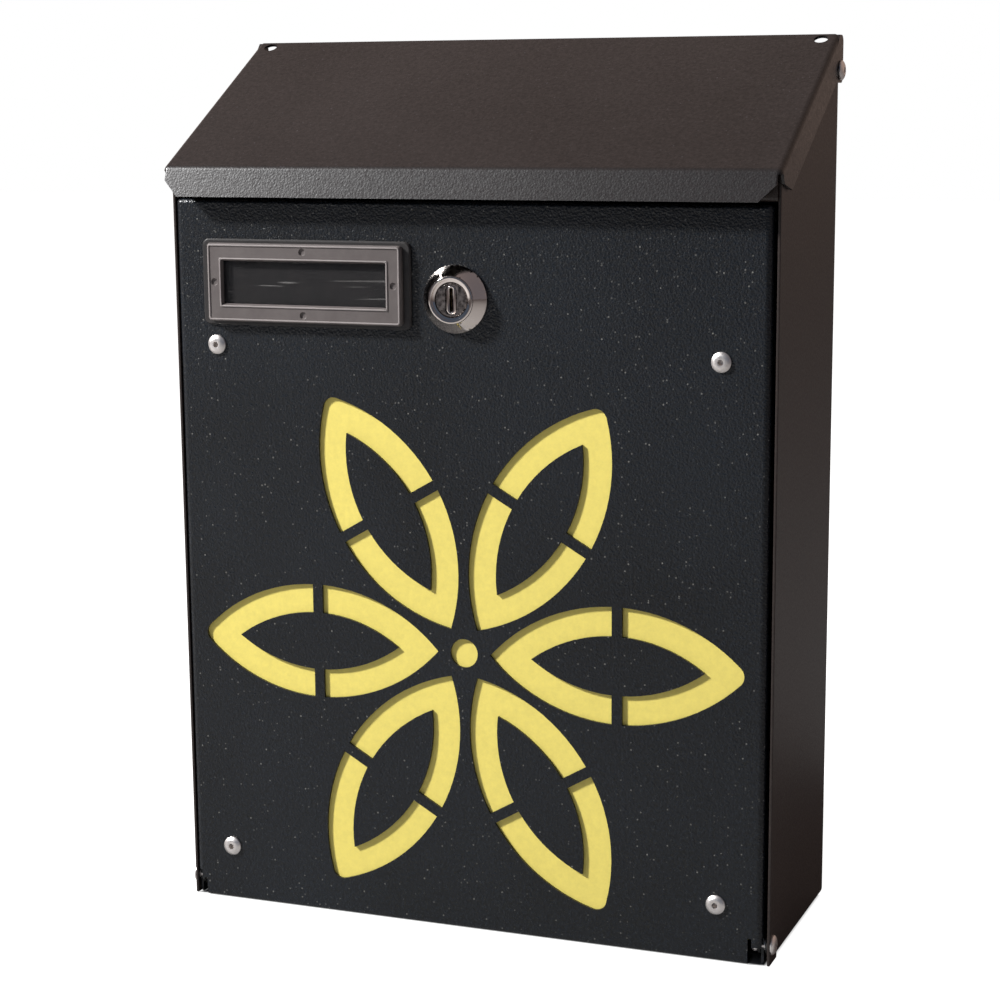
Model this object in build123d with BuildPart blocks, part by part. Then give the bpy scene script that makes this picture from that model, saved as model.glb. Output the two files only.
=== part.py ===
from build123d import *
import math
import os

# A wall mailbox in folded sheet steel: a case that is open at the front and at the top, a door
# that drops forward on two rivets near its bottom edge, and a sloped lid that lifts on two
# rivets at its back. Millimetres, +Z up, the door faces -Y. The origin is the middle of the
# four wall screws, on the wall. Most places are given as a depth behind the door's front face
# and a height above the case's underside.

# ---- Case
sheet = 1.0
case_width = 220.0
case_depth = 77.0
case_bend = 3.0
side_setback = 1.0
floor_setback = 11.5
floor_slit = 1.0
back_flange = 12.0
back_bend = 1.5
back_plate_above_pivot = 7.0
back_flange_below_pivot = 13.0
back_neck_inset = 8.0

# ---- Wall fixing
screw_spacing_x = 140.0
screw_spacing_z = 200.0
screw_centre_height = 155.0
screw_hole = 5.5
spacer_length = 10.0
spacer_diameter = 16.0

# ---- Lid
lid_side_gap = 0.3
lid_roof_gap = 0.6
lid_bend = 2.0
eave_bend = 3.0
eave_height = 267.4
lip_overhang = 3.0
lip_drop = 10.2
lip_flare = 20.0
lip_end_inset = 1.5
lip_corner = 5.5
roof_angle = 30.0
roof_rear_inset = 4.0
flange_drop = 14.3
flange_front_depth = 10.0
flange_step_depth = 0.0
flange_step_drop = 6.3
ear_overhang = 1.2
ear_below_pivot = 4.2
ear_above_pivot = 12.0
ear_corner = 2.5
relief_radius = 2.5
relief_inset = 6.0
relief_setback = 3.4
lid_pivot_inset = 3.0
lid_pivot_below_roof = 11.1

# ---- Door
door_shift = -0.5
door_side_gap = 0.9
door_top_gap = 1.0
door_flange = 12.0
door_top_flange = 8.0
door_bottom_flange = 7.5
door_bend = 2.4
door_edge_bend = 1.5
door_pivot_depth = 4.4
door_pivot_height = 6.6
left_notch_width = 4.0
right_notch_width = 5.2
notch_step = 2.1
notch_slit = 1.4
notch_height = 9.4
notch_low_height = 6.4
ear_round = 8.0

# ---- Flower cut through the door
flower_height = 100.6
petals = 6
petal_inner = 9.7
petal_outer = 102.2
petal_half_width = 20.6
petal_band = 10.3
petal_bridge = 3.7
petal_tip_radius = 4.0
flower_eye_radius = 5.1

# ---- Coloured panel behind the flower
colour_sheet = 1.0
panel_rivet_inset = 15.8
panel_rivet_shift = -0.7
panel_rivet_low = 20.2
panel_rivet_below_lock = 18.2
panel_edge = 5.0
panel_side_margin = 2.4
panel_low_margin = 3.5
panel_corner = 3.0

# ---- Blind rivets
rivet_shank = 2.0
rivet_head_radius = 3.4
rivet_head_height = 1.4
rivet_mandrel_hole = 1.0
rivet_tail_radius = 2.8
rivet_tail_length = 2.6
rivet_clearance = 0.05
pivot_end_play = 0.25
backing_washer_radius = 3.1
backing_washer_thickness = 0.8

# ---- Header rail across the top of the front
header_front_tall = 8.8
header_depth = 16.0
header_leg_above_lock = 14.4
header_bend = 1.5
header_tab_height = 7.0

# ---- Name holder
holder_x = -57.5
holder_above_lock = 4.0
holder_width = 79.5
holder_tall = 30.0
holder_base_thickness = 1.2
holder_corner = 2.5
holder_frame_inset_x = 2.75
holder_frame_inset_z = 1.4
holder_frame_thickness = 2.0
holder_frame_bevel = 0.5
window_border_x = 6.0
window_border_z = 6.2
window_thickness = 0.9
window_lap = 1.8
window_clearance = 0.1
peg_radius = 1.2
peg_clearance = 0.1
peg_wall_x = 0.2
peg_wall_z = 0.5
peg_beyond_door = 3.0
dimple_radius = 1.3
dimple_depth = 0.5
clip_radius = 3.8
clip_thickness = 0.5

# ---- Cam lock
lock_below_door_top = 32.6
lock_shift = -1.6
bezel_radius = 11.6
bezel_rim = 0.8
bezel_height = 5.0
bezel_top_width = 1.2
bezel_round = 0.5
ring_width = 0.9
ring_depth = 0.9
barrel_radius = 8.0
barrel_length = 16.0
barrel_flats = 14.4
barrel_fit = 0.2
plug_radius = 6.0
plug_clearance = 0.05
plug_front = 4.3
keyway_width = 2.2
keyway_tall = 7.6
keyway_depth = 15.0
key_dish_width = 4.2
key_dish_tall = 10.2
key_dish_depth = 0.8
wafer_count = 5
wafer_first = -1.6
wafer_pitch = 2.4
wafer_thickness = 1.0
wafer_width = 5.0
wafer_tall = 10.6
wafer_window_width = 2.8
wafer_window_tall = 7.0
wafer_play = 0.1
wafer_lug_width = 1.3
wafer_lug_tall = 1.5
spring_radius = 0.45
spring_length = 2.4
stop_gap = 0.35
stop_thickness = 0.8
stop_radius = 8.0
stop_tab_depth = 2.4
stop_tab_angle = 26.0
lock_turn = 90.0
cam_thickness = 1.6
cam_length = 32.0
cam_hub_radius = 7.5
cam_tip_radius = 5.0
square = 7.0
square_clearance = 0.05
lock_washer_radius = 11.2
lock_washer_thickness = 0.7
nut_flats = 21.0
nut_thickness = 3.0
thread_clearance = 0.05
screw_head_radius = 4.2
screw_head_height = 2.2
screw_shank_radius = 1.9
screw_length = 6.0
screw_slot_width = 1.0
screw_slot_depth = 0.9

# ---- Worked out from the sizes above
front = -(case_depth + spacer_length)
base = -screw_centre_height
inside_half = case_width / 2 - sheet
lid_half = case_width / 2 + lid_side_gap + sheet
lip_bottom = eave_height - lip_drop
door_top = lip_bottom - door_top_gap
door_half = inside_half - door_side_gap
lip_half = lid_half - lip_end_inset
lip_slope = math.tan(math.radians(lip_flare))
lip_cos = math.cos(math.radians(lip_flare))
roof_slope = math.tan(math.radians(roof_angle))
roof_sin = math.sin(math.radians(roof_angle))
roof_cos = math.cos(math.radians(roof_angle))
roof_rear_depth = case_depth - roof_rear_inset
ear_rear_depth = case_depth + ear_overhang
lid_pivot_depth = case_depth - lid_pivot_inset
lid_pivot_height = (
    eave_height + (lid_pivot_depth + lip_overhang) * roof_slope - lid_pivot_below_roof / roof_cos
)
ear_bottom = lid_pivot_height - ear_below_pivot
ear_top = lid_pivot_height + ear_above_pivot
back_plate_top = lid_pivot_height + back_plate_above_pivot
back_flange_top = lid_pivot_height - back_flange_below_pivot
back_neck_half = inside_half - back_neck_inset
lock_height = door_top - lock_below_door_top
lock_x = door_shift + lock_shift
lock_place = (lock_x, lock_height)
ring_inner_radius = plug_radius + ring_width
bezel_top_radius = ring_inner_radius + bezel_top_width
header_front_top = lip_bottom + header_front_tall
header_leg_bottom = lock_height + header_leg_above_lock
holder_height = lock_height + holder_above_lock
holder_frame_width = holder_width - 2 * holder_frame_inset_x
holder_frame_tall = holder_tall - 2 * holder_frame_inset_z
window_width = holder_frame_width - 2 * window_border_x
window_tall = holder_frame_tall - 2 * window_border_z
rebate_width = window_width + 2 * window_lap
rebate_tall = window_tall + 2 * window_lap
peg_x = rebate_width / 2 + peg_wall_x + peg_radius
peg_z = rebate_tall / 2 + peg_wall_z + peg_radius
panel_rivet_x = door_half - panel_rivet_inset
panel_rivet_high = lock_height - panel_rivet_below_lock
margin = 5.0

os.makedirs("parts", exist_ok=True)


def save(builder, name):
    """Label a finished piece and write it as its own file."""
    builder.part.label = name
    export_step(builder.part, f"parts/{name}.step")


def at(depth, height):
    """A point of a side view, from a depth behind the door's face and a height above the base."""
    return (front + depth, base + height)


def facing(depth, x=0.0, height=0.0):
    """A plane parallel to the door's face that looks out of the front, with +Z upwards on it."""
    return Plane(origin=(x, front + depth, base + height), x_dir=(1, 0, 0), z_dir=(0, -1, 0))


def side_axis_plane(x, depth, height):
    """A plane that holds the front-to-back line through a point: x is depth, y is the radius."""
    return Plane(origin=(x, front + depth, base + height), x_dir=(0, 1, 0), z_dir=(1, 0, 0))


def roof_height(depth, below=0.0):
    """Height of the roof's outer face at a depth, or of a line a square distance below it."""
    return eave_height + (depth + lip_overhang) * roof_slope - below / roof_cos


def blind_rivet(grip):
    """A blind rivet along +Z: the head's underside is at 0 and the shank runs down through grip."""
    with BuildPart() as rivet:
        with BuildSketch(Plane.XZ):
            with BuildLine():
                edge = rivet_head_height * 0.35
                Line((rivet_mandrel_hole, rivet_head_height), (rivet_mandrel_hole, -grip))
                Line((rivet_mandrel_hole, -grip), (0, -grip))
                Line((0, -grip), (0, -grip - rivet_tail_length))
                Line((0, -grip - rivet_tail_length), (rivet_tail_radius * 0.6, -grip - rivet_tail_length))
                ThreePointArc(
                    (rivet_tail_radius * 0.6, -grip - rivet_tail_length),
                    (rivet_tail_radius, -grip - rivet_tail_length * 0.45),
                    (rivet_shank, -grip),
                )
                Line((rivet_shank, -grip), (rivet_shank, 0))
                Line((rivet_shank, 0), (rivet_head_radius, 0))
                Line((rivet_head_radius, 0), (rivet_head_radius, edge))
                ThreePointArc(
                    (rivet_head_radius, edge),
                    (rivet_head_radius * 0.66, rivet_head_height * 0.88),
                    (rivet_mandrel_hole, rivet_head_height),
                )
            make_face()
        revolve(axis=Axis.Z)
    return rivet.part


def washer(outer, inner, thickness):
    """A flat washer standing on z = 0."""
    with BuildPart() as ring:
        with BuildSketch():
            Circle(outer)
            Circle(inner, mode=Mode.SUBTRACT)
        extrude(amount=thickness)
    return ring.part


def through(depth_from, depth_to):
    """How far to extrude a facing sketch at depth_from so that it ends at depth_to."""
    return depth_from - depth_to


# ======================================================================== case
# One strip of sheet bent into a U makes both sides and the floor. The sides' front edges stand
# a little behind the door's face. Their top edges follow
# the roof and end in a round about the lid's pivot. In front of the set-back floor the sides
# run down flat to the base, with a relief slit before the bend starts.
under_roof = sheet + lid_roof_gap
pivot_round = (roof_height(lid_pivot_depth) - lid_pivot_height) * roof_cos - under_roof
round_start = (lid_pivot_depth - pivot_round * roof_sin, lid_pivot_height + pivot_round * roof_cos)
round_end = math.sqrt(pivot_round**2 - (case_depth - lid_pivot_depth) ** 2)
case_top = lid_pivot_height + pivot_round

with BuildPart() as case_wrap:
    with BuildSketch(Plane.YZ):
        with BuildLine():
            Polyline(
                at(*round_start),
                at(side_setback, roof_height(side_setback, under_roof)),
                at(side_setback, 0),
                at(case_depth, 0),
                at(case_depth, lid_pivot_height + round_end),
            )
            ThreePointArc(
                at(case_depth, lid_pivot_height + round_end),
                at(lid_pivot_depth, case_top),
                at(*round_start),
            )
        make_face()
    extrude(amount=case_width / 2, both=True)
    fillet(case_wrap.edges().filter_by(Axis.Y).group_by(Axis.Z)[0], case_bend)
    with BuildSketch(facing(-margin, height=sheet)) as inside_section:
        with Locations((0, case_top / 2)):
            Rectangle(2 * inside_half, case_top)
        fillet(inside_section.vertices().group_by(Axis.Y)[0], case_bend - sheet)
    extrude(amount=through(-margin, case_depth + margin), mode=Mode.SUBTRACT)
    with BuildSketch(Plane.YZ):
        with Locations(at(floor_setback / 2 - margin, case_bend / 2 - margin)):
            Rectangle(floor_setback + 2 * margin, case_bend + 2 * margin)
    extrude(amount=case_width, both=True, mode=Mode.SUBTRACT)
    for x in (inside_half, -case_width / 2):
        with BuildSketch(Plane.YZ.offset(x)):
            with Locations(at((side_setback + floor_setback - floor_slit) / 2, case_bend / 2)):
                Rectangle(floor_setback - floor_slit - side_setback, case_bend)
        extrude(amount=sheet)
    with BuildSketch(Plane.YZ):
        with Locations(at(door_pivot_depth, door_pivot_height), at(lid_pivot_depth, lid_pivot_height)):
            Circle(rivet_shank + rivet_clearance)
    extrude(amount=case_width, both=True, mode=Mode.SUBTRACT)


def back_tray(inset, top, open_depth):
    """The back panel's outer block, or its hollow when inset by the sheet."""
    half = inside_half - inset
    bottom = sheet + inset
    with BuildPart() as block:
        with BuildSketch(facing(case_depth - inset, height=bottom)) as outline:
            with Locations((0, (top - bottom) / 2)):
                Rectangle(2 * half, top - bottom)
            fillet(outline.vertices().group_by(Axis.Y)[0], case_bend - inset)
        extrude(amount=open_depth)
        rear_edges = block.faces().sort_by(Axis.Y)[-1].edges()
        fillet(rear_edges.sort_by(Axis.Z)[:-1], back_bend - inset)
    return block.part


# A folded tray welded in between the sides and on the floor. Its flanges stop below the lid's
# pivots and its upper edge is necked in to leave room for them.
with BuildPart() as back_panel:
    add(back_tray(0, back_plate_top, back_flange))
    add(back_tray(sheet, back_plate_top + margin, back_flange + margin), mode=Mode.SUBTRACT)
    with BuildSketch(facing(case_depth + margin, height=back_flange_top)):
        neck_cut = inside_half - back_neck_half + margin
        for side in (1, -1):
            with Locations((side * (back_neck_half + neck_cut / 2), case_top / 2)):
                Rectangle(neck_cut, case_top)
    extrude(amount=back_flange + 2 * margin, mode=Mode.SUBTRACT)
    with BuildSketch(facing(case_depth + margin, height=screw_centre_height)):
        with GridLocations(screw_spacing_x, screw_spacing_z, 2, 2):
            Circle(screw_hole / 2)
    extrude(amount=2 * margin, mode=Mode.SUBTRACT)

# The rail above the door: a front strip flush with the door, a shelf behind it, and a leg
# that hangs down where the lock's cam turns up behind it. Tabs weld to the sides.
leg_front = header_depth - sheet
inner_bend = header_bend - sheet

with BuildPart() as header_rail:
    with BuildSketch(Plane.YZ):
        with BuildLine():
            FilletPolyline(
                at(0, header_front_top),
                at(0, lip_bottom),
                at(leg_front, lip_bottom),
                at(leg_front, header_leg_bottom),
                radius=[header_bend, inner_bend],
            )
            offset(amount=sheet, side=Side.LEFT)
        make_face()
    extrude(amount=inside_half, both=True)
    with BuildSketch(Plane.YZ.offset(inside_half - sheet)):
        with Locations(at(header_depth / 2, lip_bottom + sheet + header_tab_height / 2)):
            Rectangle(header_depth - 2 * header_bend, header_tab_height)
    extrude(amount=sheet)
    mirror(about=Plane.YZ)

# Four tubes of rubber hold the case off the wall, so that the lid's ears can swing behind it.
with BuildPart() as wall_spacers:
    with BuildSketch(facing(case_depth + spacer_length, height=screw_centre_height)):
        with GridLocations(screw_spacing_x, screw_spacing_z, 2, 2):
            Circle(spacer_diameter / 2)
            Circle(screw_hole / 2, mode=Mode.SUBTRACT)
    extrude(amount=spacer_length)

# ======================================================================== hinge rivets
# The lid's rivets pass through its ears, the case's sides and a backing washer inside.
lid_washer_x = inside_half - backing_washer_thickness
lid_rivet_x = lid_half + pivot_end_play

with BuildPart() as lid_hinge_rivets:
    with Locations(Location((lid_rivet_x, *at(lid_pivot_depth, lid_pivot_height)), (0, 90, 0))):
        add(blind_rivet(lid_rivet_x - lid_washer_x))
    mirror(about=Plane.YZ)

with BuildPart() as lid_hinge_washers:
    with Locations(Location((lid_washer_x, *at(lid_pivot_depth, lid_pivot_height)), (0, 90, 0))):
        add(washer(backing_washer_radius, rivet_shank + rivet_clearance, backing_washer_thickness))
    mirror(about=Plane.YZ)

# The door's rivets pass through the sides and the door's ears, and end in backing washers.
# The door hangs a little to the left, so a spacer washer fills the right-hand gap.
ear_inside = door_half - sheet

with BuildPart() as door_hinge_rivets:
    for side in (1, -1):
        tail_x = ear_inside + side * door_shift - pivot_end_play - backing_washer_thickness
        place = (side * case_width / 2, *at(door_pivot_depth, door_pivot_height))
        with Locations(Location(place, (0, side * 90, 0))):
            add(blind_rivet(case_width / 2 - tail_x))

with BuildPart() as door_hinge_washers:
    for side in (1, -1):
        washer_x = ear_inside + side * door_shift - pivot_end_play
        place = (side * washer_x, *at(door_pivot_depth, door_pivot_height))
        with Locations(Location(place, (0, -side * 90, 0))):
            add(washer(backing_washer_radius, rivet_shank + rivet_clearance, backing_washer_thickness))

with BuildPart() as door_spacer_washer:
    place = (inside_half, *at(door_pivot_depth, door_pivot_height))
    with Locations(Location(place, (0, -90, 0))):
        add(washer(backing_washer_radius, rivet_shank + rivet_clearance, backing_washer_thickness))


# ======================================================================== lid
def lid_block(inset, beyond):
    """The lid's outer block with its bends, or its hollow when inset by the sheet."""
    lip_shift = (inset / lip_cos - inset / roof_cos * lip_slope) / (1 - roof_slope * lip_slope)
    eave_depth = lip_shift - lip_overhang
    rear_depth = roof_rear_depth + beyond
    floor_height = lip_bottom - 2 * margin - beyond
    foot_depth = eave_depth - (roof_height(eave_depth, inset) - floor_height) * lip_slope
    with BuildPart() as block:
        with BuildSketch(Plane.YZ) as profile:
            with BuildLine():
                Polyline(
                    at(foot_depth, floor_height),
                    at(eave_depth, roof_height(eave_depth, inset)),
                    at(rear_depth, roof_height(rear_depth, inset)),
                    at(rear_depth, floor_height),
                    close=True,
                )
            make_face()
            fillet(profile.vertices().group_by(Axis.X)[1], eave_bend - inset)
        extrude(amount=lid_half - inset, both=True)
        roof = block.faces().sort_by(Axis.Z)[-1]
        fillet(roof.edges().filter_by(Axis.X, reverse=True), lid_bend - inset)
    return block.part


# One sheet: the roof, a lip that flares out over the door's top edge, and two side flanges
# outside the case.
# Each flange is a strip under the roof's edge that starts behind the lip and ends in an ear.
flange_knee_height = roof_height(flange_front_depth) - flange_drop
ear_start_depth = (ear_bottom + flange_drop - eave_height) / roof_slope - lip_overhang
flange_tip_depth = sheet - lip_overhang + 0.4
flange_tip_height = roof_height(flange_tip_depth, lid_bend)
flange_step_height = roof_height(flange_step_depth) - flange_step_drop
lip_clear_depth = -lip_overhang - 4 * margin

with BuildPart() as lid_panel:
    add(lid_block(0, 0))
    add(lid_block(sheet, margin), mode=Mode.SUBTRACT)
    # the flanges' lower edges
    with BuildSketch(Plane.YZ):
        with BuildLine():
            Polyline(
                at(flange_tip_depth, lip_bottom - 4 * margin),
                at(flange_tip_depth, flange_tip_height),
                at(flange_step_depth, flange_step_height),
                at(flange_front_depth, flange_knee_height),
                at(ear_start_depth, ear_bottom),
                at(roof_rear_depth + margin, ear_bottom),
                at(roof_rear_depth + margin, lip_bottom - 4 * margin),
                close=True,
            )
        make_face()
    extrude(amount=lid_half + margin, both=True, mode=Mode.SUBTRACT)
    # the lip's lower edge and the cut between its ends and the flanges
    with BuildSketch(facing(lip_clear_depth)):
        with Locations((0, lip_bottom - 2 * margin)):
            Rectangle(3 * lid_half, 4 * margin)
        for side in (1, -1):
            with BuildLine():
                Polyline(
                    (side * (lip_half - lip_corner), lip_bottom),
                    (side * lip_half, lip_bottom + lip_corner),
                    (side * lip_half, flange_tip_height),
                    (side * (lid_half + margin), flange_tip_height),
                    (side * (lid_half + margin), lip_bottom),
                    close=True,
                )
            make_face()
    extrude(amount=through(lip_clear_depth, flange_tip_depth), mode=Mode.SUBTRACT)
    # the ears behind the roof's rear edge
    for x in (lid_half - sheet, -lid_half):
        with BuildSketch(Plane.YZ.offset(x)) as ear_outline:
            with BuildLine():
                Polyline(
                    at(ear_start_depth, ear_bottom),
                    at(ear_rear_depth, ear_bottom),
                    at(ear_rear_depth, ear_top),
                    at(roof_rear_depth, ear_top),
                    at(ear_start_depth, roof_height(ear_start_depth, lid_bend)),
                    close=True,
                )
            make_face()
            fillet(ear_outline.vertices().group_by(Axis.X)[-1], ear_corner)
        extrude(amount=sheet)
    with BuildSketch(Plane.YZ):
        with Locations(at(lid_pivot_depth, lid_pivot_height)):
            Circle(rivet_shank + rivet_clearance)
    extrude(amount=case_width, both=True, mode=Mode.SUBTRACT)
    # round relief holes close to the roof's rear edge, beside the side bends
    rear_edge = Plane(
        origin=(0, *at(roof_rear_depth, roof_height(roof_rear_depth))),
        x_dir=(1, 0, 0),
        z_dir=(0, -roof_sin, roof_cos),
    )
    with BuildSketch(rear_edge):
        relief_x = lid_half - relief_inset
        with Locations((relief_x, -relief_setback), (-relief_x, -relief_setback)):
            Circle(relief_radius)
    extrude(amount=2 * sheet, both=True, mode=Mode.SUBTRACT)

# ======================================================================== door
hinge_holes = at(door_pivot_depth, door_pivot_height)
panel_rivet_places = [
    (panel_rivet_shift + side * panel_rivet_x, height)
    for side in (-1, 1)
    for height in (panel_rivet_low, panel_rivet_high)
]
peg_places = ((peg_x, 0), (-peg_x, 0), (0, peg_z), (0, -peg_z))


def door_block(inset, open_depth):
    """The door's outer block with its bends, or its hollow when inset by the sheet."""
    half = door_half - inset
    tall = door_top - 2 * inset
    with BuildPart() as block:
        with BuildSketch(facing(inset, door_shift, inset + tall / 2)):
            Rectangle(2 * half, tall)
        extrude(amount=-open_depth)
        fillet(block.faces().sort_by(Axis.Y)[0].edges().filter_by(Axis.Z), door_bend - inset)
        fillet(block.faces().sort_by(Axis.Y)[0].edges().filter_by(Axis.X), door_edge_bend - inset)
    return block.part


def petal_window():
    """One petal's cut-out along +X from the flower's middle: a band about an island, with two bridges."""
    middle = (petal_inner + petal_outer) / 2
    half_length = (petal_outer - petal_inner) / 2
    arc_radius = (half_length**2 + petal_half_width**2) / (2 * petal_half_width)
    arc_drop = arc_radius - petal_half_width
    island_half = math.sqrt((arc_radius - petal_band) ** 2 - arc_drop**2)
    island_half_width = petal_half_width - petal_band
    with BuildSketch() as window:
        with BuildLine():
            for side in (1, -1):
                ThreePointArc((petal_inner, 0), (middle, side * petal_half_width), (petal_outer, 0))
        make_face()
        fillet(window.vertices().sort_by(Axis.X)[-1], petal_tip_radius)
        with BuildSketch(mode=Mode.SUBTRACT):
            with BuildLine():
                for side in (1, -1):
                    ThreePointArc(
                        (middle - island_half, 0),
                        (middle, side * island_half_width),
                        (middle + island_half, 0),
                    )
            make_face()
        with Locations((middle, 0)):
            Rectangle(petal_bridge, 3 * petal_half_width, mode=Mode.SUBTRACT)
    return window.sketch


# A shallow pan. Its side flanges run down into ears that turn on the hinge rivets, and its
# lower corners are notched so that the bends can fold.
with BuildPart() as door_panel:
    add(door_block(0, door_flange))
    add(door_block(sheet, door_flange + margin), mode=Mode.SUBTRACT)
    # the top and bottom flanges are shallower than the side flanges
    for flange_depth, height in ((door_top_flange, door_top), (door_bottom_flange, 0)):
        with BuildSketch(facing(flange_depth, door_shift, height)):
            Rectangle(2 * ear_inside, 4 * sheet)
        extrude(amount=-door_flange, mode=Mode.SUBTRACT)
    # rounds on the ears about the hinge
    with BuildSketch(Plane.YZ):
        with Locations(at(door_flange, 0)):
            Rectangle(2 * ear_round, 2 * ear_round)
        with Locations(at(door_flange - ear_round, ear_round)):
            Circle(ear_round, mode=Mode.SUBTRACT)
    extrude(amount=case_width, both=True, mode=Mode.SUBTRACT)
    # notches in the lower corners: the left one steps up at the edge, the right one has a slit
    with BuildSketch(facing(-margin, door_shift)):
        for side, width in ((1, right_notch_width), (-1, left_notch_width)):
            with Locations((side * (door_half - width + 2 * margin), notch_low_height - 2 * margin)):
                Rectangle(4 * margin, 4 * margin)
        with Locations((-door_half + notch_step - 2 * margin, notch_height - 2 * margin)):
            Rectangle(4 * margin, 4 * margin)
        with Locations((door_half - right_notch_width + notch_slit / 2, notch_height - 2 * margin)):
            Rectangle(notch_slit, 4 * margin)
    extrude(amount=through(-margin, door_bend), mode=Mode.SUBTRACT)
    # the right corner keeps a flat tab outside its slit, clear of the hinge washer
    with BuildSketch(facing(sheet, door_shift)):
        with Locations((door_half - notch_step + 2 * margin, notch_height - 2 * margin)):
            Rectangle(4 * margin, 4 * margin)
    extrude(amount=through(sheet, door_bend), mode=Mode.SUBTRACT)
    # the bottom flange ends beside the notches
    with BuildSketch(facing(-margin, door_shift)):
        for side, width in ((1, right_notch_width), (-1, left_notch_width)):
            with Locations((side * (ear_inside + door_half - width) / 2, 0)):
                Rectangle(width - sheet, 4 * sheet)
    extrude(amount=through(-margin, door_flange + margin), mode=Mode.SUBTRACT)
    with BuildSketch(Plane.YZ):
        with Locations(hinge_holes):
            Circle(rivet_shank + rivet_clearance)
    extrude(amount=case_width, both=True, mode=Mode.SUBTRACT)
    # the flower
    with BuildSketch(facing(-margin, door_shift, flower_height)):
        with PolarLocations(0, petals):
            add(petal_window())
        Circle(flower_eye_radius)
    extrude(amount=through(-margin, 2 * sheet), mode=Mode.SUBTRACT)
    # holes for the panel's rivets, the name holder's pegs and the lock
    with BuildSketch(facing(-margin, door_shift)):
        with Locations(*panel_rivet_places):
            Circle(rivet_shank + rivet_clearance)
        with Locations(*[(holder_x + x, holder_height + z) for x, z in peg_places]):
            Circle(peg_radius + peg_clearance)
    extrude(amount=through(-margin, 2 * sheet), mode=Mode.SUBTRACT)
    with BuildSketch(facing(-margin, *lock_place)):
        Circle(barrel_radius + barrel_fit)
        Rectangle(barrel_flats + 2 * barrel_fit, 3 * barrel_radius, mode=Mode.INTERSECT)
    extrude(amount=through(-margin, 2 * sheet), mode=Mode.SUBTRACT)

# The yellow sheet that shows through the flower, and its four rivets. It reaches past the
# petals' tips and its rivets, and its top edge clears the lock's nut.
lowest_petal = flower_height - petal_outer * math.sin(math.radians(60))
colour_bottom = lowest_petal - panel_low_margin
colour_top = panel_rivet_high + panel_edge
colour_half = max(petal_outer + panel_side_margin, panel_rivet_x + panel_edge)

with BuildPart() as colour_panel:
    with BuildSketch(facing(sheet, door_shift, colour_bottom)):
        with Locations((0, (colour_top - colour_bottom) / 2)):
            RectangleRounded(2 * colour_half, colour_top - colour_bottom, panel_corner)
        with Locations(*[(x, h - colour_bottom) for x, h in panel_rivet_places]):
            Circle(rivet_shank + rivet_clearance, mode=Mode.SUBTRACT)
    extrude(amount=-colour_sheet)

with BuildPart() as colour_panel_rivets:
    for x, height in panel_rivet_places:
        with Locations(Location((door_shift + x, *at(0, height)), (90, 0, 0))):
            add(blind_rivet(sheet + colour_sheet))

# ======================================================================== name holder
# A base plate on the door, a frame with a clear window behind its opening, and four pegs
# that pass through the door into push-on clips.
holder_place = (door_shift + holder_x, holder_height)
frame_back = -holder_base_thickness
frame_front = frame_back - holder_frame_thickness

with BuildPart() as name_base:
    with BuildSketch(facing(0, *holder_place)):
        RectangleRounded(holder_width, holder_tall, holder_corner)
        with Locations(*peg_places):
            Circle(peg_radius + peg_clearance, mode=Mode.SUBTRACT)
    extrude(amount=holder_base_thickness)
    chamfer(name_base.faces().sort_by(Axis.Y)[0].outer_wire().edges(), holder_frame_bevel)

with BuildPart() as name_frame:
    with BuildSketch(facing(frame_back, *holder_place)):
        RectangleRounded(holder_frame_width, holder_frame_tall, holder_corner / 2)
    extrude(amount=holder_frame_thickness)
    chamfer(name_frame.faces().sort_by(Axis.Y)[0].edges(), holder_frame_bevel)
    with BuildSketch(facing(frame_front, *holder_place)):
        Rectangle(window_width + 2 * holder_frame_bevel, window_tall + 2 * holder_frame_bevel)
    with BuildSketch(facing(frame_front + 2 * holder_frame_bevel, *holder_place)):
        Rectangle(window_width, window_tall)
    loft(mode=Mode.SUBTRACT)
    with BuildSketch(facing(frame_back, *holder_place)):
        Rectangle(window_width, window_tall)
    extrude(amount=holder_frame_thickness, mode=Mode.SUBTRACT)
    with BuildSketch(facing(frame_back, *holder_place)):
        Rectangle(rebate_width, rebate_tall)
    extrude(amount=window_thickness + window_clearance, mode=Mode.SUBTRACT)
    with BuildSketch(facing(frame_back, *holder_place)):
        with Locations(*peg_places):
            Circle(peg_radius)
    extrude(amount=through(frame_back, sheet + peg_beyond_door))
    with BuildSketch(facing(frame_front, *holder_place)):
        with Locations(*peg_places):
            Circle(dimple_radius)
    extrude(amount=-dimple_depth, taper=30, mode=Mode.SUBTRACT)

with BuildPart() as name_window:
    with BuildSketch(facing(frame_back - window_clearance / 2, *holder_place)):
        Rectangle(rebate_width - 2 * window_clearance, rebate_tall - 2 * window_clearance)
    extrude(amount=window_thickness)

with BuildPart() as name_clips:
    with BuildSketch(facing(sheet, *holder_place)):
        with Locations(*peg_places):
            Circle(clip_radius)
            Circle(peg_radius, mode=Mode.SUBTRACT)
    extrude(amount=-clip_thickness)

# ======================================================================== lock
# A cam lock at the top of the door. Its depths are counted from the door's front face.
lock_axis = Axis((lock_x, *at(0, lock_height)), (0, 1, 0))
lock_section = side_axis_plane(lock_x, 0, lock_height)
bore = plug_radius + plug_clearance
stop_front = barrel_length + stop_gap
cam_front = stop_front + stop_thickness
cam_back = cam_front + cam_thickness
ring_floor = ring_depth - bezel_height
tab_half = stop_tab_angle / 2
tab_clearance_angle = 1.5


def sector(radius, start, end):
    """A pie slice about the origin between two angles in degrees."""
    with BuildSketch() as slice_:
        with BuildLine():
            rim = [(radius * math.cos(math.radians(a)), radius * math.sin(math.radians(a)))
                   for a in (start, (start + end) / 2, end)]
            Line((0, 0), rim[0])
            ThreePointArc(*rim)
            Line(rim[2], (0, 0))
        make_face()
    return slice_.sketch


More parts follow.
